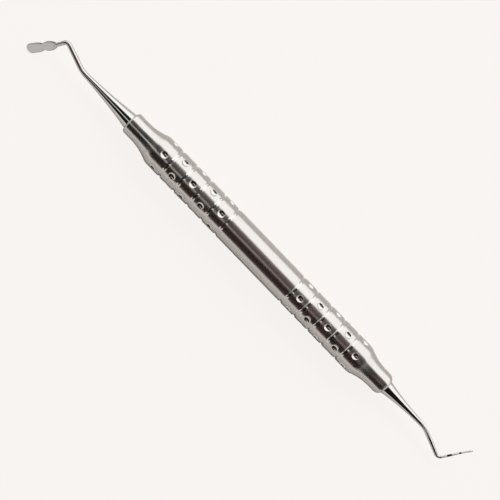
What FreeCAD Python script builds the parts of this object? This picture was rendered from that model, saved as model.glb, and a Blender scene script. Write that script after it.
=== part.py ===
import FreeCAD, Part
import math
import os

import Sketcher

# A double-ended dental hand instrument: a hollow round handle with a forged steel shank in each end.
# X runs along the handle, the flat paddle is at -X and the thin banded tip at +X, and Z is up.
# It lies as it would on a table: the handle and the end of the paddle touch the plane under it.

# Driving sizes in millimetres and degrees
SIZES = {
    # Handle: a drawn tube, swaged down at both ends
    "handle_length": 103.4,
    "handle_diameter": 10.0,
    "handle_wall": 1.0,
    "neck_diameter": 6.9,
    "neck_length": 3.5,
    "flare_radius": 17.0,
    "shoulder_radius": 4.0,
    "paddle_bore": 5.0,
    "probe_bore": 4.46,
    "paddle_rim_radius": 0.85,
    "probe_rim_radius": 1.1,
    # Grooves turned into the handle, outwards from the smooth grip
    "grip_length": 26.4,
    "groove_pitch": 5.58,
    "groove_count": 5,
    "groove_width": 1.1,
    "groove_floor_width": 0.3,
    "groove_depth": 0.3,
    # Dimples drilled with a ball, one ring outside each groove
    "dimple_ball_radius": 1.6,
    "dimple_depth": 0.45,
    "dimples_around": 6,
    # How far the rings on each side are turned about the handle's axis, towards -Y
    "paddle_side_turn": -4.5,
    "probe_side_turn": 2.0,
    # Tangs pressed into the bores of the handle
    "fit_gap": 0.02,
    "tang_length": 9.0,
    "tang_chamfer": 0.5,
    # Shank with the paddle, in its bend plane; its diameters run from the handle outwards
    "paddle_shank_middle_diameter": 2.84,
    "paddle_shank_end_diameter": 1.6,
    "paddle_leg_end_diameter": 1.36,
    "paddle_neck_diameter": 1.15,
    "paddle_first_bend_at": 19.0,
    "paddle_first_bend_angle": 22.9,
    "paddle_first_bend_radius": 8.0,
    "paddle_leg_length": 8.72,
    "paddle_second_bend_angle": 83.1,
    "paddle_second_bend_radius": 1.35,
    "paddle_neck_length": 3.95,
    # Paddle: two lobes with a waist between them
    "paddle_lean": 6.5,
    "paddle_twist": 8.0,
    "paddle_length": 10.05,
    "paddle_thickness": 0.7,
    "paddle_edge_bevel": 0.2,
    "paddle_root_width": 1.3,
    "inner_lobe_width": 2.72,
    "inner_lobe_crown_at": 2.2,
    "waist_at": 4.35,
    "waist_width": 1.95,
    "waist_radius": 0.35,
    "outer_lobe_width": 2.78,
    "outer_lobe_full_at": 6.6,
    "rib_length": 1.7,
    "rib_end_diameter": 0.5,
    # Shank with the banded tip, in the same bend plane
    "probe_shank_middle_diameter": 2.3,
    "probe_shank_end_diameter": 1.62,
    "probe_leg_end_diameter": 1.1,
    "probe_first_bend_at": 16.65,
    "probe_first_bend_angle": 23.7,
    "probe_first_bend_radius": 6.0,
    "probe_leg_length": 10.74,
    "probe_second_bend_angle": 97.2,
    "probe_second_bend_radius": 1.2,
    "tip_root_diameter": 0.7,
    "tip_end_diameter": 0.42,
    "tip_straight_length": 7.6,
    "tip_curve_angle": 8.0,
    "tip_curve_radius": 25.0,
}

# A rounding or a bevel takes at most this share of the wall that it lies on
RIM_SHARE = 0.95
BEVEL_SHARE = 0.45
# Half way from the waist to its full width, the outer lobe has made this share of the rise
LOBE_RISE_SHARE = 0.75
# Lengths under this count as none, in millimetres
NEAR = 1e-3
# Halvings of the roll's range, enough for a millionth of a degree
HALVINGS = 40

doc = FreeCAD.newDocument("DentalPlugger")
sheet = doc.addObject("Spreadsheet::Sheet", "Sizes")
for row, (name, number) in enumerate(SIZES.items(), start=1):
    sheet.set(f"A{row}", name.replace("_", " "))
    sheet.set(f"B{row}", str(number))
    sheet.setAlias(f"B{row}", name)
doc.recompute()


# Helpers for bodies and sketches

def origin_part(body, role):
    """The plane or axis of the body's own origin that plays this role."""
    return next(part for part in body.Origin.OriginFeatures if part.Role == role)


def new_body(label):
    """A body with the label that names its file."""
    body = doc.addObject("PartDesign::Body", label)
    body.Label = label
    return body


def flat_sketch(body, name, role="XY_Plane"):
    """A sketch on one of the body's origin planes."""
    sketch = body.newObject("Sketcher::SketchObject", name)
    sketch.AttachmentSupport = [(origin_part(body, role), "")]
    sketch.MapMode = "FlatFace"
    return sketch


def value(text):
    """The number that an expression over the sheet gives now."""
    return float(sheet.evalExpression(text))


def bind(sketch, constraint, text):
    """Add a constraint whose last argument is worked out from the sheet."""
    index = sketch.addConstraint(Sketcher.Constraint(*constraint, value(text)))
    sketch.setExpression(f"Constraints[{index}]", text)


def pin(sketch, geometry, end, x, y):
    """Hold an end of a curve at two coordinates, both expressions over the sheet."""
    bind(sketch, ("DistanceX", -1, 1, geometry, end), x)
    bind(sketch, ("DistanceY", -1, 1, geometry, end), y)


def point(x, y):
    """A point in a sketch from two expressions."""
    return FreeCAD.Vector(value(x), value(y), 0)


def line(sketch, start, end):
    """A straight stretch between two points."""
    return sketch.addGeometry(Part.LineSegment(start, end), False)


def arc(sketch, start, middle, end):
    """A round stretch through three points, and its end numbers from start to end.

    A sketch counts an arc's ends anticlockwise, so one that runs the other way is drawn backwards.
    """
    clockwise = (middle - start).cross(end - middle).z < 0
    points = (end, middle, start) if clockwise else (start, middle, end)
    return sketch.addGeometry(Part.Arc(*points), False), (2, 1) if clockwise else (1, 2)


def close_loop(sketch, curves):
    """Join the end of each curve to the start of the next; a curve is (geometry, (start, end))."""
    for (one, (_, end)), (other, (start, _)) in zip(curves, curves[1:] + curves[:1]):
        sketch.addConstraint(Sketcher.Constraint("Coincident", one, end, other, start))


def revolve(body, kind, name, sketch):
    """Turn a profile round the body's X axis: Revolution adds and Groove cuts."""
    feature = body.newObject(f"PartDesign::{kind}", name)
    feature.Profile = sketch
    feature.ReferenceAxis = (sketch, ["H_Axis"])
    feature.Angle = 360
    doc.recompute()
    return feature


def fillet(body, name, base, edges, radius):
    """Round the named edges of a feature; the radius is an expression."""
    feature = body.newObject("PartDesign::Fillet", name)
    feature.Base = (base, edges)
    feature.setExpression("Radius", radius)
    doc.recompute()
    return feature


def edges_where(feature, test):
    """The names of the edges of a feature's shape that pass a test."""
    return [f"Edge{number}" for number, edge in enumerate(feature.Shape.Edges, start=1) if test(edge)]


def ring_at(x, radius):
    """A test for the full circle of this radius about the X axis at this place."""
    def test(edge):
        curve = edge.Curve
        return (isinstance(curve, Part.Circle) and abs(curve.Radius - radius) < NEAR
                and abs(curve.Center.x - x) < NEAR)
    return test


def must_cut(name, before, after):
    """Stop if a cut took nothing away."""
    if after.Volume > before.Volume - NEAR:
        raise RuntimeError(f"{name} cut nothing")


def outline_loop(sketch, corners, crowns):
    """A closed profile through corners; a stretch with a crown is an arc through that point."""
    curves = []
    for number, (here, there) in enumerate(zip(corners, corners[1:] + corners[:1])):
        if number in crowns:
            geometry, ends = arc(sketch, point(*here), point(*crowns[number]), point(*there))
            crown = sketch.addGeometry(Part.Point(point(*crowns[number])), True)
            pin(sketch, crown, 1, *crowns[number])
            sketch.addConstraint(Sketcher.Constraint("PointOnObject", crown, 1, geometry))
        else:
            geometry, ends = line(sketch, point(*here), point(*there)), (1, 2)
        pin(sketch, geometry, ends[0], *here)
        curves.append((geometry, ends))
    close_loop(sketch, curves)


def repeat(body, name, feature, steps):
    """Repeat a feature by several patterns, one after the other."""
    pattern = body.newObject("PartDesign::MultiTransform", name)
    pattern.Originals = [feature]
    pattern.Transformations = steps
    body.Tip = pattern
    doc.recompute()
    return pattern


# Handle: one drawn stainless tube, necked at both ends, grooved and dimpled for the fingers
def make_handle():
    """The hollow handle, centred on the origin."""
    body = new_body("handle")
    half = "Sizes.handle_length / 2"
    outer = "Sizes.handle_diameter / 2"
    neck = "Sizes.neck_diameter / 2"
    straight_end = f"({half} - Sizes.neck_length)"
    rise = "(Sizes.handle_diameter - Sizes.neck_diameter) / 2"
    flare_run = f"sqrt(Sizes.flare_radius ^ 2 - (Sizes.flare_radius - {rise}) ^ 2)"
    middle_rise = f"(Sizes.flare_radius - sqrt(Sizes.flare_radius ^ 2 - ({flare_run} / 2) ^ 2))"

    # Outer form, as a solid bar
    sketch = flat_sketch(body, "HandleOutline")
    corners = [(f"-{half}", "0"), (f"-{half}", neck), (f"-{straight_end}", neck),
               (f"-{straight_end} + {flare_run}", outer), (f"{straight_end} - {flare_run}", outer),
               (straight_end, neck), (half, neck), (half, "0")]
    crowns = {2: (f"-{straight_end} + {flare_run} / 2", f"{neck} + {middle_rise}"),
              4: (f"{straight_end} - {flare_run} / 2", f"{neck} + {middle_rise}")}
    outline_loop(sketch, corners, crowns)
    bar = revolve(body, "Revolution", "HandleBar", sketch)

    # Rounded shoulders where the flares meet the full diameter, and rounded rims at the ends
    shoulder_x, shoulder_radius = value(f"{straight_end} - {flare_run}"), value(outer)
    shoulders = edges_where(bar, lambda edge: ring_at(shoulder_x, shoulder_radius)(edge)
                            or ring_at(-shoulder_x, shoulder_radius)(edge))
    rounded = fillet(body, "Shoulders", bar, shoulders, "Sizes.shoulder_radius")
    for side, sign in (("paddle", -1), ("probe", 1)):
        rim = edges_where(rounded, ring_at(sign * value(half), value(neck)))
        wall = f"(Sizes.neck_diameter - Sizes.{side}_bore) / 2"
        radius = f"min(Sizes.{side}_rim_radius; {RIM_SHARE} * {wall})"
        rounded = fillet(body, f"Rim_{side}", rounded, rim, radius)

    # Cavity, which follows the outer form at the wall's thickness
    inner = f"({outer} - Sizes.handle_wall)"
    inner_neck = f"({neck} - Sizes.handle_wall)"
    inner_radius = "(Sizes.flare_radius + Sizes.handle_wall)"
    inner_run = f"sqrt({inner_radius} ^ 2 - ({inner_radius} - {rise}) ^ 2)"
    inner_middle = f"({inner_radius} - sqrt({inner_radius} ^ 2 - ({inner_run} / 2) ^ 2))"
    sketch = flat_sketch(body, "CavityOutline")
    corners = [(f"-{straight_end}", "0"), (f"-{straight_end}", inner_neck),
               (f"-{straight_end} + {inner_run}", inner), (f"{straight_end} - {inner_run}", inner),
               (straight_end, inner_neck), (straight_end, "0")]
    crowns = {1: (f"-{straight_end} + {inner_run} / 2", f"{inner_neck} + {inner_middle}"),
              3: (f"{straight_end} - {inner_run} / 2", f"{inner_neck} + {inner_middle}")}
    outline_loop(sketch, corners, crowns)
    cavity = revolve(body, "Groove", "Cavity", sketch)
    must_cut("the cavity", rounded.Shape, cavity.Shape)

    # Bores that take the tangs, from each end into the cavity
    last = cavity
    for side, sign in (("paddle", "-"), ("probe", "")):
        sketch = flat_sketch(body, f"Bore_{side}_Outline")
        bore = f"Sizes.{side}_bore / 2"
        outside = f"{sign}({half} + Sizes.fit_gap)"
        inside = f"{sign}({half} - Sizes.tang_length)"
        outline_loop(sketch, [(outside, "0"), (outside, bore), (inside, bore), (inside, "0")], {})
        cut = revolve(body, "Groove", f"Bore_{side}", sketch)
        must_cut("a bore", last.Shape, cut.Shape)
        last = cut

    # Grooves: the innermost one of the probe's side, repeated outwards and mirrored
    sketch = flat_sketch(body, "GrooveOutline")
    first = "Sizes.grip_length / 2"
    floor, above = f"({outer} - Sizes.groove_depth)", f"({outer} + Sizes.groove_depth)"
    left, right = (f"({first} {sign} Sizes.groove_width / 2)" for sign in "-+")
    floor_left, floor_right = (f"({first} {sign} Sizes.groove_floor_width / 2)" for sign in "-+")
    outline_loop(sketch, [(left, above), (left, outer), (floor_left, floor), (floor_right, floor),
                          (right, outer), (right, above)], {})
    groove = revolve(body, "Groove", "FirstGroove", sketch)
    must_cut("the first groove", last.Shape, groove.Shape)
    row_of_grooves = doc.addObject("PartDesign::LinearPattern", "GrooveRow")
    row_of_grooves.Direction = (origin_part(body, "X_Axis"), [""])
    row_of_grooves.setExpression("Occurrences", "Sizes.groove_count")
    row_of_grooves.setExpression("Length", "Sizes.groove_pitch * (Sizes.groove_count - 1)")
    other_side = doc.addObject("PartDesign::Mirrored", "GrooveMirror")
    other_side.MirrorPlane = (origin_part(body, "YZ_Plane"), [""])
    last = repeat(body, "Grooves", groove, [row_of_grooves, other_side])

    # Dimples: rings 1, 3 and 5 line up, and rings 2 and 4 are turned by half a step.
    # Each ball's own axis lies along the handle, so that no pole or seam of it is in the dimple.
    across = FreeCAD.Vector(0, 1, 0)
    for side, sign in (("paddle", "-"), ("probe", "")):
        for ring, count in ((0, "ceil(Sizes.groove_count / 2)"), (1, "floor(Sizes.groove_count / 2)")):
            angle = f"(Sizes.{side}_side_turn + {ring} * 180 / Sizes.dimples_around)"
            centre = f"({outer} - Sizes.dimple_depth + Sizes.dimple_ball_radius)"
            ball = body.newObject("PartDesign::SubtractiveSphere", f"Dimple_{side}_{ring + 1}")
            ball.AttachmentSupport = [(origin_part(body, "XY_Plane"), "")]
            ball.MapMode = "FlatFace"
            ball.AttachmentOffset = FreeCAD.Placement(FreeCAD.Vector(), FreeCAD.Rotation(across, -90))
            ball.setExpression("Radius", "Sizes.dimple_ball_radius")
            along_x = f"{sign}({first} + Sizes.groove_pitch * {ring + 0.5})"
            ball.setExpression("AttachmentOffset.Base.x", along_x)
            ball.setExpression("AttachmentOffset.Base.y", f"-{centre} * sin({angle})")
            ball.setExpression("AttachmentOffset.Base.z", f"{centre} * cos({angle})")
            doc.recompute()
            must_cut("a dimple", last.Shape, ball.Shape)
            around = doc.addObject("PartDesign::PolarPattern", f"DimplesAround_{side}_{ring + 1}")
            around.Axis = (origin_part(body, "X_Axis"), [""])
            around.Angle = 360
            around.setExpression("Occurrences", "Sizes.dimples_around")
            along = doc.addObject("PartDesign::LinearPattern", f"DimplesAlong_{side}_{ring + 1}")
            along.Direction = (origin_part(body, "X_Axis"), [""])
            along.Reversed = sign == "-"
            along.setExpression("Occurrences", count)
            along.setExpression("Length", f"2 * Sizes.groove_pitch * ({count} - 1)")
            last = repeat(body, f"Dimples_{side}_{ring + 1}", ball, [around, along])
    return body


# Shanks: forged and ground steel, each with a tang in the bore of the handle

class Route:
    """A centre line drawn outwards from the handle: bends and straights, each tangent to the last."""

    def __init__(self, sketch, start):
        self.sketch = sketch
        self.start = start
        self.place = point(start, "0")
        self.heading = 0.0
        self.last = None
        self.corners = [self.place]
        self.middles = []

    def join(self, geometry, ends):
        """Make a stretch tangent to the one before it."""
        if self.last:
            before, end = self.last
            self.sketch.addConstraint(Sketcher.Constraint("Tangent", before, end, geometry, ends[0]))
        self.last = (geometry, ends[1])

    def bend(self, radius, angle, side):
        """Turn to a side (1 or -1) by an angle, along an arc of this radius."""
        size, turn = value(radius), side * math.radians(value(angle))
        across = FreeCAD.Vector(-math.sin(self.heading), math.cos(self.heading), 0) * side
        centre = self.place + across * size
        middle, end = (centre + self.turned(-across, turn * share) * size for share in (0.5, 1))
        geometry, ends = arc(self.sketch, self.place, middle, end)
        if not self.last:
            pin(self.sketch, geometry, ends[0], self.start, "0")
            self.sketch.addConstraint(Sketcher.Constraint("Vertical", geometry, ends[0], geometry, 3))
        self.join(geometry, ends)
        bind(self.sketch, ("Radius", geometry), radius)
        index = self.sketch.addConstraint(Sketcher.Constraint("Angle", geometry, abs(turn)))
        self.sketch.setExpression(f"Constraints[{index}]", f"({angle}) * 1 deg")
        self.go_to(middle, end)
        self.heading += turn

    def straight(self, length):
        """Go straight on."""
        ahead = FreeCAD.Vector(math.cos(self.heading), math.sin(self.heading), 0)
        end = self.place + ahead * value(length)
        geometry = line(self.sketch, self.place, end)
        self.join(geometry, (1, 2))
        bind(self.sketch, ("Distance", geometry), length)
        self.go_to((self.place + end) / 2, end)

    def go_to(self, middle, end):
        """Note where a stretch runs and go to its end."""
        self.middles.append(middle)
        self.corners.append(end)
        self.place = end

    def edge(self, number):
        """The name of the edge of a stretch, counted from 0."""
        middle = Part.Vertex(self.middles[number])
        edges = self.sketch.Shape.Edges
        return f"Edge{min(range(len(edges)), key=lambda index: edges[index].distToShape(middle)[0]) + 1}"

    @staticmethod
    def turned(vector, angle):
        """A vector turned in the plane of the sketch."""
        cosine, sine = math.cos(angle), math.sin(angle)
        return FreeCAD.Vector(vector.x * cosine - vector.y * sine, vector.x * sine + vector.y * cosine, 0)


def disc(body, name, route, corner_number, diameter):
    """A round section of a shank, square to its centre line where two stretches meet."""
    stretch = max(corner_number - 1, 0)
    edge = route.edge(stretch)
    curve = route.sketch.Shape.getElement(edge)
    first, last = curve.ParameterRange
    spot = route.corners[corner_number]
    at_end = curve.valueAt(last).distanceToPoint(spot) < curve.valueAt(first).distanceToPoint(spot)
    sketch = body.newObject("Sketcher::SketchObject", name)
    sketch.AttachmentSupport = [(route.sketch, edge)]
    sketch.MapMode = "NormalToEdge"
    sketch.MapPathParameter = 1.0 if at_end else 0.0
    middle, normal = FreeCAD.Vector(0, 0, 0), FreeCAD.Vector(0, 0, 1)
    circle = sketch.addGeometry(Part.Circle(middle, normal, value(diameter) / 2), False)
    sketch.addConstraint(Sketcher.Constraint("Coincident", circle, 3, -1, 1))
    bind(sketch, ("Diameter", circle), diameter)
    return sketch


def tapered(body, name, route, stretches, sections):
    """A round bar along stretches of the route, through sections of changing diameter."""
    pipe = body.newObject("PartDesign::AdditivePipe", name)
    pipe.Profile = sections[0]
    pipe.Spine = (route.sketch, [route.edge(number) for number in stretches])
    pipe.Sections = [(section, [""]) for section in sections[1:]]
    pipe.Transformation = "Multisection"
    doc.recompute()
    return pipe


def corner(radius, angle):
    """How far the tangent point of a bend lies from its corner."""
    return f"{radius} * tan({angle} / 2)"


def cone_end(side):
    """How far out the cone of a shank meets its first bend."""
    bend = corner(f"Sizes.{side}_first_bend_radius", f"Sizes.{side}_first_bend_angle")
    return f"(Sizes.{side}_first_bend_at - {bend})"


def make_cone(body, side):
    """The tang in the handle's bore and the hollow-sided cone outside it, turned in one."""
    tang = f"(Sizes.{side}_bore / 2 - Sizes.fit_gap)"
    inside, outside = "-Sizes.tang_length", cone_end(side)
    sketch = flat_sketch(body, f"ConeOutline_{side}")
    corners = [(inside, "0"), (inside, f"{tang} - Sizes.tang_chamfer"),
               (f"{inside} + Sizes.tang_chamfer", tang), ("0", tang), ("0", f"Sizes.{side}_bore / 2"),
               (outside, f"Sizes.{side}_shank_end_diameter / 2"), (outside, "0")]
    hollow = (f"{outside} / 2", f"Sizes.{side}_shank_middle_diameter / 2")
    outline_loop(sketch, corners, {4: hollow})
    revolve(body, "Revolution", f"Cone_{side}", sketch)


# Width of the bevel round both faces of the paddle
BEVEL = f"min(Sizes.paddle_edge_bevel; {BEVEL_SHARE} * Sizes.paddle_thickness)"


def make_blade(body):
    """The two-lobed paddle, with its waist and the rims of both faces bevelled."""
    first, second = "Sizes.paddle_first_bend_angle", "Sizes.paddle_second_bend_angle"
    leg, neck = "Sizes.paddle_leg_length", "Sizes.paddle_neck_length"
    sketch = flat_sketch(body, "PaddleOutline")
    offset = {
        "Base.x": f"Sizes.paddle_first_bend_at + {leg} * cos({first}) + {neck} * cos({second} - {first})",
        "Base.y": f"{neck} * sin({second} - {first}) - {leg} * sin({first})",
        "Rotation.Yaw": f"{second} - {first} - Sizes.paddle_lean",
        "Rotation.Roll": "-Sizes.paddle_twist",
    }
    for part, text in offset.items():
        sketch.setExpression(f"AttachmentOffset.{part}", text)

    # Upper side from the root outwards, then the same points mirrored and read back
    root, waist = "Sizes.paddle_root_width / 2", "Sizes.waist_width / 2"
    inner, outer = "Sizes.inner_lobe_width / 2", "Sizes.outer_lobe_width / 2"
    upper = [("0", root), ("Sizes.waist_at", waist), ("Sizes.outer_lobe_full_at", outer),
             (f"Sizes.paddle_length - {outer}", outer)]
    lower = [(x, f"-{y}") for x, y in reversed(upper)]
    inner_crown = ("Sizes.inner_lobe_crown_at", inner)
    outer_crown = ("(Sizes.waist_at + Sizes.outer_lobe_full_at) / 2",
                   f"({waist} + {LOBE_RISE_SHARE} * ({outer} - {waist}))")
    crowns = {0: inner_crown, 1: outer_crown, 3: ("Sizes.paddle_length", "0"),
              5: (outer_crown[0], f"-{outer_crown[1]}"), 6: (inner_crown[0], f"-{inner_crown[1]}")}
    outline_loop(sketch, upper + lower, crowns)
    blade = body.newObject("PartDesign::Pad", "Blade")
    blade.Profile = sketch
    blade.Midplane = True
    blade.setExpression("Length", "Sizes.paddle_thickness")
    doc.recompute()

    # Ends of an edge as the outline's sketch sees them
    def ends(edge):
        return [sketch.Placement.inverse().multVec(vertex.Point) for vertex in edge.Vertexes]

    def across_waist(edge):
        here, there = ends(edge)
        return abs(here.x - value("Sizes.waist_at")) < NEAR and abs(here.z - there.z) > NEAR

    def on_rim(edge):
        here, there = ends(edge)
        return abs(here.z - there.z) < NEAR and max(here.x, there.x) > NEAR

    waisted = fillet(body, "Waist", blade, edges_where(blade, across_waist), "Sizes.waist_radius")
    rim = body.newObject("PartDesign::Chamfer", "PaddleRim")
    rim.Base = (waisted, edges_where(waisted, on_rim))
    rim.setExpression("Size", BEVEL)
    doc.recompute()
    return sketch


def make_paddle_end():
    """The shank with the paddle: X runs outwards from the handle and the bends lie in the XY plane."""
    body = new_body("paddle_end")
    first = ("Sizes.paddle_first_bend_radius", "Sizes.paddle_first_bend_angle")
    second = ("Sizes.paddle_second_bend_radius", "Sizes.paddle_second_bend_angle")
    route = Route(flat_sketch(body, "PaddleRoute"), cone_end("paddle"))
    route.bend(*first, -1)
    route.straight(f"Sizes.paddle_leg_length - {corner(*first)} - {corner(*second)}")
    route.bend(*second, 1)
    route.straight(f"Sizes.paddle_neck_length - {corner(*second)}")
    route.straight("Sizes.rib_length")
    outline = make_blade(body)

    # Rib that fades out inside the paddle, neck, leg between the bends, and cone
    rib_end = disc(body, "RibEnd", route, 5, "Sizes.rib_end_diameter")
    rib_start = disc(body, "RibStart", route, 4, "Sizes.paddle_neck_diameter")
    tapered(body, "Rib", route, (4,), [rib_start, rib_end])
    neck_end = disc(body, "NeckEnd", route, 4, "Sizes.paddle_neck_diameter")
    neck_start = disc(body, "NeckStart", route, 2, "Sizes.paddle_leg_end_diameter")
    tapered(body, "Neck", route, (2, 3), [neck_start, neck_end])
    leg_end = disc(body, "LegEnd", route, 2, "Sizes.paddle_leg_end_diameter")
    leg_start = disc(body, "LegStart", route, 0, "Sizes.paddle_shank_end_diameter")
    tapered(body, "Leg", route, (0, 1), [leg_start, leg_end])
    make_cone(body, "paddle")
    return body, outline


def make_probe_end():
    """The shank with the thin tip, in a frame like the paddle's."""
    body = new_body("probe_end")
    first = ("Sizes.probe_first_bend_radius", "Sizes.probe_first_bend_angle")
    second = ("Sizes.probe_second_bend_radius", "Sizes.probe_second_bend_angle")
    route = Route(flat_sketch(body, "ProbeRoute"), cone_end("probe"))
    route.bend(*first, 1)
    route.straight(f"Sizes.probe_leg_length - {corner(*first)} - {corner(*second)}")
    route.bend(*second, -1)
    route.straight(f"Sizes.tip_straight_length - {corner(*second)}")
    route.bend("Sizes.tip_curve_radius", "Sizes.tip_curve_angle", 1)
    doc.recompute()

    # Cone, leg between the bends, then the tip, which thins fast round its bend and slowly to its end
    make_cone(body, "probe")
    leg_start = disc(body, "LegStart_probe", route, 0, "Sizes.probe_shank_end_diameter")
    leg_end = disc(body, "LegEnd_probe", route, 2, "Sizes.probe_leg_end_diameter")
    tapered(body, "Leg_probe", route, (0, 1), [leg_start, leg_end])
    bend_start = disc(body, "BendStart", route, 2, "Sizes.probe_leg_end_diameter")
    bend_end = disc(body, "BendEnd", route, 3, "Sizes.tip_root_diameter")
    tapered(body, "TipBend", route, (2,), [bend_start, bend_end])
    tip_start = disc(body, "TipStart", route, 3, "Sizes.tip_root_diameter")
    tip_end = disc(body, "TipEnd", route, 5, "Sizes.tip_end_diameter")
    tapered(body, "Tip", route, (3, 4), [tip_start, tip_end])
    return body


# Lying on a table: both shanks are rolled about X until the end of the paddle is as low as the handle
def resting_roll(outline):
    """The roll in radians at which the round end of the paddle touches the plane under the handle."""
    end_radius = value("Sizes.outer_lobe_width / 2")
    half_thickness = value("Sizes.paddle_thickness / 2")
    bevel = value(BEVEL)
    centre = outline.Placement.multVec(FreeCAD.Vector(value("Sizes.paddle_length") - end_radius, 0, 0))
    normal = outline.Placement.Rotation.multVec(FreeCAD.Vector(0, 0, 1))

    def lowest(roll):
        """Height of the lowest point: a flat disc with bevelled rims about the end's centre."""
        height = centre.z * math.cos(roll) - centre.y * math.sin(roll)
        upright = abs(normal.z * math.cos(roll) - normal.y * math.sin(roll))
        slope = math.sqrt(1 - upright ** 2)
        rings = ((end_radius, half_thickness - bevel), (end_radius - bevel, half_thickness))
        return height - max(radius * slope + level * upright for radius, level in rings)

    low, high = 0.0, math.pi / 2
    for _ in range(HALVINGS):
        middle = (low + high) / 2
        if lowest(middle) > -value("Sizes.handle_diameter") / 2:
            low = middle
        else:
            high = middle
    return (low + high) / 2


def place_shank(body, side, roll):
    """Seat a shank in its end of the handle, side -1 or 1, with the bend plane rolled about X."""
    out = FreeCAD.Vector(side, 0, 0)
    bend = FreeCAD.Vector(0, -math.cos(roll), -math.sin(roll))
    end = FreeCAD.Vector(side * value("Sizes.handle_length / 2"), 0, 0)
    body.Placement = FreeCAD.Placement(end, FreeCAD.Rotation(out, bend, out.cross(bend), "XYZ"))


handle = make_handle()
paddle_end, paddle_outline = make_paddle_end()
probe_end = make_probe_end()
roll = resting_roll(paddle_outline)
place_shank(paddle_end, -1, roll)
place_shank(probe_end, 1, roll)
doc.recompute()
print(f"roll {math.degrees(roll):.2f} degrees")

# Check every object, then write one file for each piece
failed = [thing.Name for thing in doc.Objects if {"Invalid", "Error"} & set(thing.State)]
if failed:
    raise RuntimeError(f"these failed: {failed}")
os.makedirs("parts", exist_ok=True)
for piece in (handle, paddle_end, probe_end):
    if piece.Shape.isNull() or not piece.Shape.isValid() or len(piece.Shape.Solids) != 1:
        raise RuntimeError(f"{piece.Label} is not one sound solid")
    piece.Shape.exportStep(f"parts/{piece.Label}.step")
    print(f"{piece.Label}: {piece.Shape.Volume:.1f} mm3")
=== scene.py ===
import math

import bmesh
import bpy
from mathutils import Matrix, Vector


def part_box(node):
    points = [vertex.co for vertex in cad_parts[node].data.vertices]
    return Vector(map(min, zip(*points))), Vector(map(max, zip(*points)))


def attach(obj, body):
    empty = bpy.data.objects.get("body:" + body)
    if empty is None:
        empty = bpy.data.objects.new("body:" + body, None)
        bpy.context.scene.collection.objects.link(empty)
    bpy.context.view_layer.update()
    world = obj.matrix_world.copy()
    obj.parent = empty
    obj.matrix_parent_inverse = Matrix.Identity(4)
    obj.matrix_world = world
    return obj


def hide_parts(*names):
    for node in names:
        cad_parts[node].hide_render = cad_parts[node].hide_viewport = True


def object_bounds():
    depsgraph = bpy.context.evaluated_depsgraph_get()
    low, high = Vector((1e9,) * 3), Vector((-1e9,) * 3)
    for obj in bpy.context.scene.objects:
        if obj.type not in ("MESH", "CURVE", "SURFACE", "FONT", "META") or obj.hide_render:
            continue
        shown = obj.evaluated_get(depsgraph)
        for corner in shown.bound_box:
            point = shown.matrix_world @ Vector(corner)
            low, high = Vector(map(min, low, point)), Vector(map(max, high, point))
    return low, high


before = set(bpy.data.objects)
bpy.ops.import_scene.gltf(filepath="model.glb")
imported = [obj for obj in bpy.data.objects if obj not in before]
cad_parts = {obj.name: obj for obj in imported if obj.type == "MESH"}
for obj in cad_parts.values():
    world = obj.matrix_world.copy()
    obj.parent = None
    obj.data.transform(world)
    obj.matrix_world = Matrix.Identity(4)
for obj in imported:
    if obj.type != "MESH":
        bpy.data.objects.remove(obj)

cad_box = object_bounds()

# The handle is a thin stainless tube, swaged down to a neck at both ends.
# Five grooves are turned into it on each side of the smooth grip, and rings of
# dimples are drilled with a ball between them. The whole tube has a fine satin finish.

MM = 0.001
HANDLE_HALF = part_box("handle")[1].x
HANDLE_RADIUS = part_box("handle")[1].y
HANDLE_WALL = 1.0 * MM
NECK_RADIUS = 3.45 * MM
NECK_LENGTH = 3.5 * MM
FLARE_RADIUS = 17.0 * MM
SHOULDER_RADIUS = 4.0 * MM
# For the paddle's end and the tip's end of the tube
BORE_RADIUS = {-1: 2.5 * MM, 1: 2.23 * MM}
RIM_DEPTH = {-1: 0.85 * MM, 1: 1.1 * MM}
RIM_LENGTH = {-1: 0.85 * MM, 1: 1.8 * MM}
FIRST_GROOVE_AT = 13.2 * MM
GROOVE_PITCH = 5.58 * MM
GROOVE_COUNT = 5
GROOVE_WIDTH = 1.1 * MM
GROOVE_FLOOR_WIDTH = 0.3 * MM
GROOVE_DEPTH = 0.3 * MM
LIP = 0.03 * MM
TURNING_STEPS = 160
# A stretch that holds the flare and the shoulder, and the steps along it and round a rim
FLARE_STRETCH = 8.0 * MM
FLARE_STEPS = 24
RIM_STEPS = 8
# A place this far off counts as the other side of a step
NEAR = 1e-6


def body_radius(x):
    """Radius of the tube's outside at x, without its grooves and rims."""
    in_flare = HANDLE_HALF - NECK_LENGTH - abs(x)
    if in_flare <= 0:
        return NECK_RADIUS
    flare_centre = NECK_RADIUS + FLARE_RADIUS
    shoulder_centre = HANDLE_RADIUS - SHOULDER_RADIUS
    apart = FLARE_RADIUS + SHOULDER_RADIUS
    shoulder_at = math.sqrt(apart ** 2 - (flare_centre - shoulder_centre) ** 2)
    if in_flare >= shoulder_at:
        return HANDLE_RADIUS
    if in_flare > shoulder_at * FLARE_RADIUS / apart:
        return shoulder_centre + math.sqrt(SHOULDER_RADIUS ** 2 - (shoulder_at - in_flare) ** 2)
    return flare_centre - math.sqrt(FLARE_RADIUS ** 2 - in_flare ** 2)


def cavity_radius(x):
    """Radius of the tube's inside at x, one wall below the outside."""
    side = 1 if x > 0 else -1
    if abs(x) > HANDLE_HALF - NECK_LENGTH:
        return BORE_RADIUS[side]
    return max(BORE_RADIUS[side], body_radius(x) - HANDLE_WALL)


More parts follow.
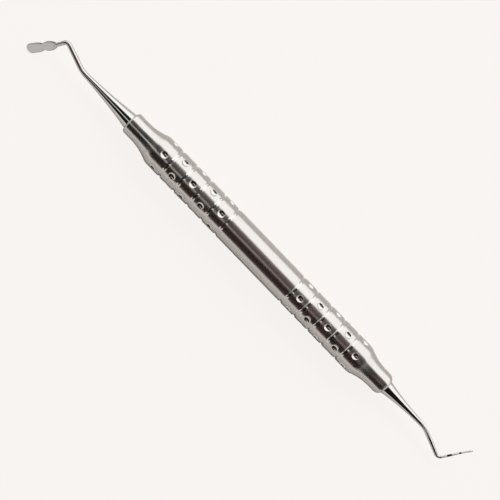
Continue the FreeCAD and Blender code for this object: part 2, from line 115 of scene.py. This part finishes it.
def groove_depth(x):
    """How far a flat-bottomed groove with sloped sides lies below the outside at x."""
    steps = (abs(x) - FIRST_GROOVE_AT) / GROOVE_PITCH
    nearest = min(max(round(steps), 0), GROOVE_COUNT - 1)
    off = abs(steps - nearest) * GROOVE_PITCH
    down = (GROOVE_WIDTH / 2 - off) / (GROOVE_WIDTH / 2 - GROOVE_FLOOR_WIDTH / 2)
    return GROOVE_DEPTH * min(max(down, 0.0), 1.0)


def steps_between(start, end, count):
    """Evenly spaced places from start to end, both included."""
    return [start + (end - start) * step / count for step in range(count + 1)]


def half_outside(side):
    """Outline of one half of the outside, from the middle of the grip to the mouth of the bore."""
    places = [0.0]
    for groove in range(GROOVE_COUNT):
        middle = FIRST_GROOVE_AT + groove * GROOVE_PITCH
        # One more place outside each lip keeps the smooth shading of the land flat
        places.append(middle - GROOVE_WIDTH / 2 - 3 * LIP)
        for width in (-GROOVE_WIDTH, -GROOVE_FLOOR_WIDTH, GROOVE_FLOOR_WIDTH, GROOVE_WIDTH):
            places += [middle + width / 2 - LIP, middle + width / 2 + LIP]
        places.append(middle + GROOVE_WIDTH / 2 + 3 * LIP)
    neck = HANDLE_HALF - NECK_LENGTH
    places += steps_between(neck - FLARE_STRETCH, neck, FLARE_STEPS)
    outline = [(side * x, body_radius(x) - groove_depth(x)) for x in places]
    deep, long = RIM_DEPTH[side], RIM_LENGTH[side]
    for angle in steps_between(0, math.pi / 2, RIM_STEPS):
        outline.append((side * (HANDLE_HALF - long + long * math.sin(angle)),
                        NECK_RADIUS - deep + deep * math.cos(angle)))
    return outline


def half_inside(side):
    """Outline of one half of the bore and the cavity, from the mouth to the middle."""
    neck = HANDLE_HALF - NECK_LENGTH
    places = [HANDLE_HALF, neck + NEAR] + steps_between(neck, neck - FLARE_STRETCH, FLARE_STEPS // 2) + [0.0]
    return [(side * x, cavity_radius(side * x)) for x in places]


def turn_on_lathe(name, outline, steps):
    """A closed outline of (x, radius), turned round the X axis into a mesh object."""
    ring = [(math.cos(2 * math.pi * step / steps), math.sin(2 * math.pi * step / steps))
            for step in range(steps)]
    points = [(x, radius * c, radius * s) for x, radius in outline for c, s in ring]
    faces = []
    for here in range(len(outline)):
        there = (here + 1) % len(outline)
        for step in range(steps):
            after = (step + 1) % steps
            faces.append((here * steps + step, here * steps + after,
                          there * steps + after, there * steps + step))
    mesh = bpy.data.meshes.new(name)
    mesh.from_pydata(points, [], faces)
    form = bmesh.new()
    form.from_mesh(mesh)
    bmesh.ops.recalc_face_normals(form, faces=form.faces)
    form.to_mesh(mesh)
    form.free()
    piece = bpy.data.objects.new(name, mesh)
    bpy.context.scene.collection.objects.link(piece)
    return piece


right_outside, left_outside = half_outside(1), half_outside(-1)
tube_outline = (left_outside[:0:-1] + right_outside + half_inside(1)[:-1] + half_inside(-1)[::-1])
handle = turn_on_lathe("handle_tube", tube_outline, TURNING_STEPS)


# Materials and their shared effects

def new_group(name, inputs, outputs):
    """An empty shader node group with named float, vector or colour sockets."""
    group = bpy.data.node_groups.new(name, "ShaderNodeTree")
    for kind, sockets in (("INPUT", inputs), ("OUTPUT", outputs)):
        for label, socket_type, start in sockets:
            socket = group.interface.new_socket(label, in_out=kind, socket_type=socket_type)
            if start is not None:
                socket.default_value = start
    return group, group.nodes.new("NodeGroupInput"), group.nodes.new("NodeGroupOutput")


def link(tree, source, target):
    """Join an output socket to an input socket."""
    tree.links.new(source, target)


def node(tree, kind, settings=None, **values):
    """A node with its properties set, and its input sockets by name with _ for a space."""
    made = tree.nodes.new(kind)
    for key, value in (settings or {}).items():
        setattr(made, key, value)
    for key, value in values.items():
        made.inputs[key.replace("_", " ")].default_value = value
    return made


def math_node(tree, operation, first, second=None):
    """A Math node; each operand is a number or an output socket."""
    made = node(tree, "ShaderNodeMath", {"operation": operation})
    for socket, operand in zip(made.inputs, (first, second)):
        if operand is None:
            continue
        if isinstance(operand, (int, float)):
            socket.default_value = operand
        else:
            link(tree, operand, socket)
    return made.outputs[0]


def blend_colours(tree, factor, first, second):
    """Mix two colours, each an output socket or a fixed colour."""
    mix = node(tree, "ShaderNodeMix", {"data_type": "RGBA"})
    link(tree, factor, mix.inputs["Factor"])
    for socket, colour in ((mix.inputs["A"], first), (mix.inputs["B"], second)):
        if isinstance(colour, tuple):
            socket.default_value = colour
        else:
            link(tree, colour, socket)
    return mix.outputs["Result"]


def blend_numbers(tree, factor, first, second):
    """Mix two numbers, each an output socket or fixed."""
    mix = node(tree, "ShaderNodeMix", {"data_type": "FLOAT"})
    link(tree, factor, mix.inputs["Factor"])
    for socket, number in ((mix.inputs["A"], first), (mix.inputs["B"], second)):
        if isinstance(number, float):
            socket.default_value = number
        else:
            link(tree, number, socket)
    return mix.outputs["Result"]


def make_turning_lines():
    """Fine rings left by the lathe and the satin wheel, which change along X and hardly round it."""
    group, inlet, outlet = new_group(
        "Turning lines",
        [("Rings per metre", "NodeSocketFloat", 9000.0), ("Round share", "NodeSocketFloat", 0.02)],
        [("Height", "NodeSocketFloat", None)])
    place = node(group, "ShaderNodeTexCoord")
    stretch = node(group, "ShaderNodeCombineXYZ")
    across = math_node(group, "MULTIPLY", inlet.outputs["Rings per metre"], inlet.outputs["Round share"])
    link(group, inlet.outputs["Rings per metre"], stretch.inputs["X"])
    link(group, across, stretch.inputs["Y"])
    link(group, across, stretch.inputs["Z"])
    scaled = node(group, "ShaderNodeVectorMath", {"operation": "MULTIPLY"})
    link(group, place.outputs["Object"], scaled.inputs[0])
    link(group, stretch.outputs["Vector"], scaled.inputs[1])
    lines = node(group, "ShaderNodeTexNoise", Scale=1.0, Detail=3.0, Roughness=0.6)
    link(group, scaled.outputs["Vector"], lines.inputs["Vector"])
    link(group, lines.outputs["Fac"], outlet.inputs["Height"])
    return group


def make_handling_marks():
    """Faint smudges and rubbed places that change how sharp a reflection is."""
    group, inlet, outlet = new_group(
        "Handling marks",
        [("Marks per metre", "NodeSocketFloat", 150.0), ("Base", "NodeSocketFloat", 0.2),
         ("Spread", "NodeSocketFloat", 0.06)],
        [("Roughness", "NodeSocketFloat", None), ("Mask", "NodeSocketFloat", None)])
    place = node(group, "ShaderNodeTexCoord")
    clouds = node(group, "ShaderNodeTexNoise", Detail=4.0, Roughness=0.55)
    link(group, place.outputs["Object"], clouds.inputs["Vector"])
    link(group, inlet.outputs["Marks per metre"], clouds.inputs["Scale"])
    centred = math_node(group, "SUBTRACT", clouds.outputs["Fac"], 0.5)
    spread = math_node(group, "MULTIPLY", centred, inlet.outputs["Spread"])
    link(group, math_node(group, "ADD", inlet.outputs["Base"], spread), outlet.inputs["Roughness"])
    link(group, clouds.outputs["Fac"], outlet.inputs["Mask"])
    return group


TURNING_LINES = make_turning_lines()
HANDLING_MARKS = make_handling_marks()


def placed(tree, group, **values):
    """A shader node group placed in a material with its own values."""
    return node(tree, "ShaderNodeGroup", {"node_tree": group}, **values)


def new_metal(name):
    """A material with one metallic Principled shader; gives the material, its tree and the shader."""
    material = bpy.data.materials.new(name)
    material.use_nodes = True
    tree = material.node_tree
    shader = tree.nodes["Principled BSDF"]
    shader.inputs["Metallic"].default_value = 1.0
    return material, tree, shader


def bump_into(tree, shader, height, strength, depth):
    """Feed a height to the shader's normal; depth is in metres."""
    bump = node(tree, "ShaderNodeBump", Strength=strength, Distance=depth)
    link(tree, height, bump.inputs["Height"])
    link(tree, bump.outputs["Normal"], shader.inputs["Normal"])


SATIN_COLOURS = ((0.68, 0.66, 0.64, 1), (0.74, 0.72, 0.70, 1))
BRIGHT_CUT_COLOUR = (0.75, 0.74, 0.72, 1)
BRIGHT_CUT_ROUGHNESS = 0.14
# A wall counts as cut from the first of these depths on, and fully from the second
CUT_STARTS, CUT_FULL = 0.015 * MM, 0.06 * MM
# The grooves and dimples end before this place, and the flares begin after it
GRIPS_END = 39.9 * MM


def below_the_surface(tree):
    """1 on the walls of the grooves and dimples, which lie under the tube's full radius."""
    place = node(tree, "ShaderNodeTexCoord")
    axes = node(tree, "ShaderNodeSeparateXYZ")
    link(tree, place.outputs["Object"], axes.inputs["Vector"])
    squares = [math_node(tree, "POWER", axes.outputs[axis], 2.0) for axis in "YZ"]
    radius = math_node(tree, "SQRT", math_node(tree, "ADD", *squares))
    under = node(tree, "ShaderNodeMapRange", From_Min=HANDLE_RADIUS - CUT_FULL,
                 From_Max=HANDLE_RADIUS - CUT_STARTS, To_Min=1.0, To_Max=0.0)
    link(tree, radius, under.inputs["Value"])
    inside = math_node(tree, "LESS_THAN", math_node(tree, "ABSOLUTE", axes.outputs["X"]), GRIPS_END)
    return math_node(tree, "MULTIPLY", under.outputs["Result"], inside)


def make_satin_steel():
    """Stainless steel with a fine turned satin finish, brighter where grooves and dimples are cut into it."""
    material, tree, shader = new_metal("satin stainless steel")
    marks = placed(tree, HANDLING_MARKS, Marks_per_metre=120.0, Base=0.27, Spread=0.08)
    cut = below_the_surface(tree)
    link(tree, blend_numbers(tree, cut, marks.outputs["Roughness"], BRIGHT_CUT_ROUGHNESS),
         shader.inputs["Roughness"])
    shader.inputs["Anisotropic"].default_value = 0.9
    shader.inputs["Anisotropic Rotation"].default_value = 0.25
    around = node(tree, "ShaderNodeTangent", {"direction_type": "RADIAL", "axis": "X"})
    link(tree, around.outputs["Tangent"], shader.inputs["Tangent"])
    satin = blend_colours(tree, marks.outputs["Mask"], *SATIN_COLOURS)
    link(tree, blend_colours(tree, cut, satin, BRIGHT_CUT_COLOUR), shader.inputs["Base Color"])
    lines = placed(tree, TURNING_LINES, Rings_per_metre=9000.0)
    bump_into(tree, shader, lines.outputs["Height"], strength=0.25, depth=4e-6)
    return material


def drill_dimples_tree(material):
    """Geometry nodes that drill rings of ball dimples on one side of the grip."""
    tree = bpy.data.node_groups.new("Ball dimples", "GeometryNodeTree")
    sockets = {}
    tree.interface.new_socket("Geometry", in_out="INPUT", socket_type="NodeSocketGeometry")
    for label, socket_type in (("First ring at", "NodeSocketFloat"), ("Ring pitch", "NodeSocketFloat"),
                               ("Rings", "NodeSocketInt"), ("Around", "NodeSocketInt"),
                               ("Ball radius", "NodeSocketFloat"), ("Ball at radius", "NodeSocketFloat"),
                               ("Side", "NodeSocketFloat"), ("Turn", "NodeSocketFloat")):
        sockets[label] = tree.interface.new_socket(label, in_out="INPUT", socket_type=socket_type)
    tree.interface.new_socket("Geometry", in_out="OUTPUT", socket_type="NodeSocketGeometry")
    inlet, outlet = tree.nodes.new("NodeGroupInput"), tree.nodes.new("NodeGroupOutput")

    # One point for each ball: its ring and its place round the handle follow from its number
    number = tree.nodes.new("GeometryNodeInputIndex").outputs["Index"]
    ring = math_node(tree, "FLOOR", math_node(tree, "DIVIDE", number, inlet.outputs["Around"]))
    half_step = math_node(tree, "MULTIPLY", math_node(tree, "MODULO", ring, 2.0), 0.5)
    turns = math_node(tree, "DIVIDE", math_node(tree, "ADD", number, half_step), inlet.outputs["Around"])
    angle = math_node(tree, "ADD", math_node(tree, "MULTIPLY", turns, 2 * math.pi), inlet.outputs["Turn"])
    along = math_node(tree, "ADD", inlet.outputs["First ring at"],
                      math_node(tree, "MULTIPLY", ring, inlet.outputs["Ring pitch"]))
    place = node(tree, "ShaderNodeCombineXYZ")
    outward = node(tree, "ShaderNodeCombineXYZ")
    link(tree, math_node(tree, "MULTIPLY", along, inlet.outputs["Side"]), place.inputs["X"])
    for axis, turned in (("Y", math_node(tree, "MULTIPLY", math_node(tree, "SINE", angle), -1.0)),
                         ("Z", math_node(tree, "COSINE", angle))):
        link(tree, math_node(tree, "MULTIPLY", turned, inlet.outputs["Ball at radius"]), place.inputs[axis])
        link(tree, turned, outward.inputs[axis])

    points = tree.nodes.new("GeometryNodePoints")
    link(tree, math_node(tree, "MULTIPLY", inlet.outputs["Rings"], inlet.outputs["Around"]),
         points.inputs["Count"])
    link(tree, place.outputs["Vector"], points.inputs["Position"])
    aim = node(tree, "FunctionNodeAlignRotationToVector", {"axis": "Z"})
    link(tree, outward.outputs["Vector"], aim.inputs["Vector"])
    ball = node(tree, "GeometryNodeMeshUVSphere", Segments=40, Rings=44)
    link(tree, inlet.outputs["Ball radius"], ball.inputs["Radius"])
    balls = tree.nodes.new("GeometryNodeInstanceOnPoints")
    link(tree, points.outputs["Points"], balls.inputs["Points"])
    link(tree, ball.outputs["Mesh"], balls.inputs["Instance"])
    link(tree, aim.outputs["Rotation"], balls.inputs["Rotation"])
    real = tree.nodes.new("GeometryNodeRealizeInstances")
    link(tree, balls.outputs["Instances"], real.inputs["Geometry"])

    drill = node(tree, "GeometryNodeMeshBoolean", {"operation": "DIFFERENCE", "solver": "EXACT"})
    link(tree, inlet.outputs["Geometry"], drill.inputs["Mesh 1"])
    link(tree, real.outputs["Geometry"], drill.inputs["Mesh 2"])
    finish = node(tree, "GeometryNodeSetMaterial", Material=material)
    link(tree, drill.outputs["Mesh"], finish.inputs["Geometry"])
    link(tree, finish.outputs["Geometry"], outlet.inputs["Geometry"])
    return tree, {label: socket.identifier for label, socket in sockets.items()}


BALL_RADIUS = 1.6 * MM
DIMPLE_DEPTH = 0.45 * MM
DIMPLES_AROUND = 6
# How far the rings of each side are turned towards -Y
DIMPLE_TURN = {-1: math.radians(-4.5), 1: math.radians(2)}
SHARP_ANGLE = math.radians(28)

satin_steel = make_satin_steel()
dimple_tree, dimple_input = drill_dimples_tree(satin_steel)
for side in (-1, 1):
    drill = handle.modifiers.new(f"dimples {side}", "NODES")
    drill.node_group = dimple_tree
    for label, value in (("First ring at", FIRST_GROOVE_AT + GROOVE_PITCH / 2), ("Ring pitch", GROOVE_PITCH),
                         ("Rings", GROOVE_COUNT), ("Around", DIMPLES_AROUND), ("Ball radius", BALL_RADIUS),
                         ("Ball at radius", HANDLE_RADIUS - DIMPLE_DEPTH + BALL_RADIUS),
                         ("Side", float(side)), ("Turn", DIMPLE_TURN[side])):
        drill[dimple_input[label]] = value


def settle(piece):
    """Turn a piece with live modifiers into a plain mesh, smooth but for its sharp edges."""
    graph = bpy.context.evaluated_depsgraph_get()
    mesh = bpy.data.meshes.new_from_object(piece.evaluated_get(graph))
    piece.modifiers.clear()
    piece.data = mesh
    form = bmesh.new()
    form.from_mesh(mesh)
    bmesh.ops.remove_doubles(form, verts=form.verts, dist=1e-7)
    for face in form.faces:
        face.smooth = True
    for edge in form.edges:
        if len(edge.link_faces) == 2:
            edge.smooth = edge.calc_face_angle() < SHARP_ANGLE
    form.to_mesh(mesh)
    form.free()


settle(handle)
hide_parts("handle")
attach(handle, "root")


# Both shanks are forged from stainless bar, ground round and mirror-polished.
# The paddle at the end of the first one has flat faces with a fine matt finish.

POLISHED_COLOUR = (0.74, 0.73, 0.71, 1)
PADDLE_COLOUR = (0.64, 0.66, 0.66, 1)
# Painted shade: the paddle's bevelled rims get this darker colour, for the dark outline that they show.
PADDLE_RIM_SHADE_COLOUR = (0.55, 0.55, 0.55, 1)
TIP_COLOUR = (0.98, 0.97, 0.96, 1)
BAND_COLOUR = (0.02, 0.02, 0.02, 1)


def make_polished_steel(name):
    """Mirror-polished steel with faint marks; gives the material, its tree, its shader and its marks."""
    material, tree, shader = new_metal(name)
    shader.inputs["Base Color"].default_value = POLISHED_COLOUR
    marks = placed(tree, HANDLING_MARKS, Marks_per_metre=260.0, Base=0.11, Spread=0.06)
    link(tree, marks.outputs["Roughness"], shader.inputs["Roughness"])
    return material, tree, shader, marks


# Where the paddle leaves its neck, the way it points, and a length that takes in all of it
PADDLE_ROOT = Vector((-80.98, -0.19, -0.13)) * MM
PADDLE_AIM = Vector((-0.592, -0.672, -0.445))
PADDLE_REACH = 20.0 * MM
PADDLE_ROUGHNESS = 0.16
PADDLE_RIM_ROUGHNESS = 0.4
# How squarely a facet looks along the paddle's normal, from rim to flat face
RIM_SQUARE, FACE_SQUARE = 0.8, 0.95
FINISH_SOFT = 0.4 * MM


def along(tree, origin, direction):
    """The distance of a place from an origin, measured along a direction, in metres."""
    place = node(tree, "ShaderNodeTexCoord")
    apart = node(tree, "ShaderNodeVectorMath", {"operation": "SUBTRACT"})
    link(tree, place.outputs["Object"], apart.inputs[0])
    apart.inputs[1].default_value = origin
    distance = node(tree, "ShaderNodeVectorMath", {"operation": "DOT_PRODUCT"})
    link(tree, apart.outputs["Vector"], distance.inputs[0])
    distance.inputs[1].default_value = direction.normalized()
    return distance.outputs["Value"]


def between(tree, value, start, end, soft):
    """1 where a value lies between two places, with soft edges."""
    rise = node(tree, "ShaderNodeMapRange", From_Min=start - soft, From_Max=start + soft)
    fall = node(tree, "ShaderNodeMapRange", From_Min=end - soft, From_Max=end + soft, To_Min=1.0, To_Max=0.0)
    for ramp in (rise, fall):
        link(tree, value, ramp.inputs["Value"])
    return math_node(tree, "MULTIPLY", rise.outputs["Result"], fall.outputs["Result"])


def paddle_normal():
    """The direction that the flat faces of the paddle look in, from its largest facet."""
    facets = [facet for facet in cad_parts["paddle_end"].data.polygons
              if (facet.center - PADDLE_ROOT).dot(PADDLE_AIM) > 0]
    return max(facets, key=lambda facet: facet.area).normal.copy()


def finish_paddle_end():
    """Polished shank that turns matt over the paddle, whose bevelled rims are rougher and get a darker colour
    as painted shade.
    """
    material, tree, shader, marks = make_polished_steel("polished shank and matt paddle")
    on_paddle = between(tree, along(tree, PADDLE_ROOT, PADDLE_AIM), 0.0, PADDLE_REACH, FINISH_SOFT)
    facing = node(tree, "ShaderNodeVectorMath", {"operation": "DOT_PRODUCT"})
    link(tree, node(tree, "ShaderNodeNewGeometry").outputs["True Normal"], facing.inputs[0])
    facing.inputs[1].default_value = paddle_normal()
    square = node(tree, "ShaderNodeMapRange", From_Min=RIM_SQUARE, From_Max=FACE_SQUARE)
    link(tree, math_node(tree, "ABSOLUTE", facing.outputs["Value"]), square.inputs["Value"])
    # The rims blend to the darker colour as painted shade along the paddle's outline; their higher roughness
    # is their own.
    blade_colour_with_rim_shade = blend_colours(tree, square.outputs["Result"], PADDLE_RIM_SHADE_COLOUR, PADDLE_COLOUR)
    link(tree, blend_colours(tree, on_paddle, POLISHED_COLOUR, blade_colour_with_rim_shade), shader.inputs["Base Color"])
    blade_matt = blend_numbers(tree, square.outputs["Result"], PADDLE_RIM_ROUGHNESS, PADDLE_ROUGHNESS)
    link(tree, blend_numbers(tree, on_paddle, marks.outputs["Roughness"], blade_matt),
         shader.inputs["Roughness"])
    return material


# Where the thin tip ends, the way it points, and the bands' places back from its end
TIP_END = Vector((81.71, 5.2, 3.5)) * MM
TIP_AIM = Vector((0.284, 0.795, 0.536))
TIP_LENGTH = 9.6 * MM
TIP_ROUGHNESS = 0.6
TIP_METALLIC = 0.1
BLACK_BANDS = ((6.4 * MM, 7.95 * MM), (3.5 * MM, 4.1 * MM))
BAND_SOFT = 0.05 * MM


def finish_probe_end():
    """Polished shank whose thin tip is matt and has two black bands."""
    material, tree, shader, marks = make_polished_steel("polished shank with banded tip")
    from_end = math_node(tree, "MULTIPLY", along(tree, TIP_END, TIP_AIM), -1.0)
    on_tip = between(tree, from_end, -TIP_LENGTH, TIP_LENGTH, FINISH_SOFT)
    link(tree, blend_numbers(tree, on_tip, marks.outputs["Roughness"], TIP_ROUGHNESS),
         shader.inputs["Roughness"])
    steel = blend_colours(tree, on_tip, POLISHED_COLOUR, TIP_COLOUR)
    first, second = (between(tree, from_end, start, end, BAND_SOFT) for start, end in BLACK_BANDS)
    band = math_node(tree, "MAXIMUM", first, second)
    link(tree, blend_colours(tree, band, steel, BAND_COLOUR), shader.inputs["Base Color"])
    bare = math_node(tree, "SUBTRACT", 1.0, band)
    link(tree, math_node(tree, "MULTIPLY", bare, blend_numbers(tree, on_tip, 1.0, TIP_METALLIC)),
         shader.inputs["Metallic"])
    return material


for name, finish in (("paddle_end", finish_paddle_end()), ("probe_end", finish_probe_end())):
    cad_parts[name].data.materials[0] = finish


# The studio: a pale table under the instrument, a tall bright softbox on its far side,
# a weaker one on its near side and one at each end, and dark cloth overhead round the camera.

TABLE_COLOUR = (0.939, 0.905, 0.879, 1)
TABLE_HALF = 1.5
# How much of the table's look is its own even light, for the camera and in the metal
TABLE_GLOW_SEEN = 0.92
TABLE_GLOW_MIRRORED = 0.05
FAR_SOFTBOX = (1.3, 1.28, 1.26, 1)
NEAR_SOFTBOX = (0.61, 0.56, 0.53, 1)
NEAR_SOFTBOX_ENDS = (0.73, 0.67, 0.64, 1)
END_SOFTBOXES = (0.9, 0.88, 0.86, 1)
# The cloth, as brightness against the angle from straight up round the X axis towards +Y.
# The two on the left leave a narrow light gap on the near side of straight up.
NEAR_EDGE = -71
CLOTH_FAR_LEFT = ((NEAR_EDGE, NEAR_SOFTBOX_ENDS),
                  (-66, (0.007, 0.011, 0.009, 1)), (-24, (0.006, 0.01, 0.008, 1)),
                  (-20, (0.03, 0.032, 0.03, 1)), (-17, (0.75, 0.75, 0.74, 1)), (-10, (0.75, 0.75, 0.74, 1)),
                  (-7, (0.012, 0.015, 0.013, 1)), (8, (0.008, 0.011, 0.009, 1)),
                  (31, (0.025, 0.031, 0.027, 1)), (35, FAR_SOFTBOX))
CLOTH_LEFT = ((NEAR_EDGE, NEAR_SOFTBOX_ENDS),
              (-66, (0.013, 0.02, 0.016, 1)), (-24, (0.013, 0.02, 0.016, 1)),
              (-20, (0.034, 0.042, 0.037, 1)), (-17, (0.49, 0.51, 0.5, 1)), (-10, (0.49, 0.51, 0.5, 1)),
              (-7, (0.034, 0.046, 0.04, 1)), (8, (0.034, 0.046, 0.04, 1)), (16, (0.11, 0.145, 0.135, 1)),
              (31, (0.175, 0.21, 0.195, 1)), (35, FAR_SOFTBOX))
CLOTH_MIDDLE = ((NEAR_EDGE, NEAR_SOFTBOX),
                (-66, (0.022, 0.014, 0.012, 1)), (-60, (0.048, 0.009, 0.006, 1)),
                (-36, (0.045, 0.008, 0.006, 1)), (-26, (0.067, 0.016, 0.013, 1)),
                (-19, (0.15, 0.06, 0.048, 1)), (-15, (0.26, 0.15, 0.135, 1)),
                (-11, (0.15, 0.068, 0.058, 1)), (5, (0.28, 0.155, 0.142, 1)), (27, (0.335, 0.245, 0.225, 1)),
                (30, FAR_SOFTBOX))
CLOTH_RIGHT = ((NEAR_EDGE, NEAR_SOFTBOX_ENDS),
               (-66, (0.018, 0.0175, 0.0165, 1)), (-26, (0.024, 0.0235, 0.022, 1)),
               (5, (0.045, 0.044, 0.041, 1)), (27, (0.09, 0.087, 0.08, 1)), (30, FAR_SOFTBOX))
CLOTH_FAR_RIGHT = ((NEAR_EDGE - 3, NEAR_SOFTBOX_ENDS),
                   (-69, (0.01, 0.008, 0.007, 1)), (5, (0.01, 0.008, 0.007, 1)),
                   (27, (0.05, 0.045, 0.042, 1)), (30, FAR_SOFTBOX))
# Where each next cloth, and the softboxes at the ends, begin and are full,
# as the share of a direction that points along X
ENDS_FROM = (0.88, 0.93)
CLOTHS_TO_THE_RIGHT = ((CLOTH_LEFT, -0.26, -0.16), (CLOTH_MIDDLE, -0.05, 0.06),
                       (CLOTH_RIGHT, 0.2, 0.25), (CLOTH_FAR_RIGHT, 0.32, 0.42))


def make_table():
    """The table's top, at the lowest place of the instrument, with a faint shadow."""
    floor = cad_box[0].z
    mesh = bpy.data.meshes.new("table")
    mesh.from_pydata([(-TABLE_HALF, -TABLE_HALF, floor), (TABLE_HALF, -TABLE_HALF, floor),
                      (TABLE_HALF, TABLE_HALF, floor), (-TABLE_HALF, TABLE_HALF, floor)], [], [(0, 1, 2, 3)])
    table = bpy.data.objects.new("table", mesh)
    bpy.context.scene.collection.objects.link(table)
    material = bpy.data.materials.new("pale table")
    material.use_nodes = True
    tree = material.node_tree
    tree.nodes.remove(tree.nodes["Principled BSDF"])
    lit = node(tree, "ShaderNodeBsdfDiffuse", Color=TABLE_COLOUR)
    glow = node(tree, "ShaderNodeEmission", Color=TABLE_COLOUR, Strength=1.04)
    rays = node(tree, "ShaderNodeLightPath")
    seen = math_node(tree, "MULTIPLY", rays.outputs["Is Camera Ray"], TABLE_GLOW_SEEN)
    mirrored = math_node(tree, "MULTIPLY", rays.outputs["Is Glossy Ray"], TABLE_GLOW_MIRRORED)
    blend = tree.nodes.new("ShaderNodeMixShader")
    link(tree, math_node(tree, "ADD", seen, mirrored), blend.inputs["Fac"])
    link(tree, lit.outputs["BSDF"], blend.inputs[1])
    link(tree, glow.outputs["Emission"], blend.inputs[2])
    link(tree, blend.outputs["Shader"], tree.nodes["Material Output"].inputs["Surface"])
    mesh.materials.append(material)


def cloth_ramp(tree, cloth, angle):
    """A colour ramp over the angle, with the cloth between the near and the far softbox."""
    share = node(tree, "ShaderNodeMapRange", From_Min=-math.pi, From_Max=math.pi)
    link(tree, angle, share.inputs["Value"])
    ramp = node(tree, "ShaderNodeValToRGB")
    link(tree, share.outputs["Result"], ramp.inputs["Fac"])
    elements = ramp.color_ramp.elements
    elements[0].color, elements[1].color = cloth[0][1], FAR_SOFTBOX
    for degrees, colour in cloth:
        elements.new((degrees + 180) / 360).color = colour
    return ramp.outputs["Color"]


def fade(tree, value, start, end):
    """0 up to one value and 1 from another on."""
    ramp = node(tree, "ShaderNodeMapRange", From_Min=start, From_Max=end)
    link(tree, value, ramp.inputs["Value"])
    return ramp.outputs["Result"]


def make_world():
    """Softboxes and dark cloth round the X axis, softboxes at its ends, and a pale backdrop to look at."""
    world = bpy.data.worlds.new("studio")
    bpy.context.scene.world = world
    world.use_nodes = True
    tree = world.node_tree
    toward = node(tree, "ShaderNodeTexCoord")
    axes = node(tree, "ShaderNodeSeparateXYZ")
    link(tree, toward.outputs["Generated"], axes.inputs["Vector"])
    right = axes.outputs["X"]
    aside = math_node(tree, "ABSOLUTE", right)

    angle = math_node(tree, "ARCTAN2", axes.outputs["Y"], axes.outputs["Z"])
    colour = cloth_ramp(tree, CLOTH_FAR_LEFT, angle)
    for cloth, start, end in CLOTHS_TO_THE_RIGHT:
        colour = blend_colours(tree, fade(tree, right, start, end), colour, cloth_ramp(tree, cloth, angle))
    colour = blend_colours(tree, fade(tree, aside, *ENDS_FROM), colour, END_SOFTBOXES)
    rays = node(tree, "ShaderNodeLightPath")
    colour = blend_colours(tree, rays.outputs["Is Camera Ray"], colour, TABLE_COLOUR)
    link(tree, colour, tree.nodes["Background"].inputs["Color"])


LAMP_AWAY = 0.42


def make_table_lamp():
    """A lamp on the far side for the table alone, so that the metal mirrors a shaded strip by its foot."""
    data = bpy.data.lights.new("table lamp", "AREA")
    data.size = 0.15
    data.energy = 0.9
    lamp = bpy.data.objects.new("table lamp", data)
    lamp.visible_glossy = False
    lamp.location = (0.0, LAMP_AWAY, LAMP_AWAY)
    lamp.rotation_euler = (math.radians(-45), 0.0, 0.0)
    bpy.context.scene.collection.objects.link(lamp)


make_table()
make_world()
make_table_lamp()

# The camera looks down from above the tube's left half, turned so that the instrument
# runs from the upper left to the lower right of the picture.

CAMERA_AT = Vector((-19.44, 1.55, 251.67)) * MM
CAMERA_AIM = Vector((-3.05, -0.86, 0.0)) * MM
PICTURE_TURN = math.radians(46.15)
LENS = 64.74

camera_data = bpy.data.cameras.new("camera")
camera_data.sensor_width = 36.0
camera_data.lens = LENS
camera_data.clip_start = 0.01
camera = bpy.data.objects.new("camera", camera_data)
bpy.context.scene.collection.objects.link(camera)
back = (CAMERA_AT - CAMERA_AIM).normalized()
top = Vector((-math.sin(PICTURE_TURN), math.cos(PICTURE_TURN), 0.0))
right = top.cross(back).normalized()
turned = Matrix((right, back.cross(right), back)).transposed().to_4x4()
camera.matrix_world = Matrix.Translation(CAMERA_AT) @ turned
bpy.context.scene.camera = camera
bpy.context.scene.view_settings.view_transform = "Standard"
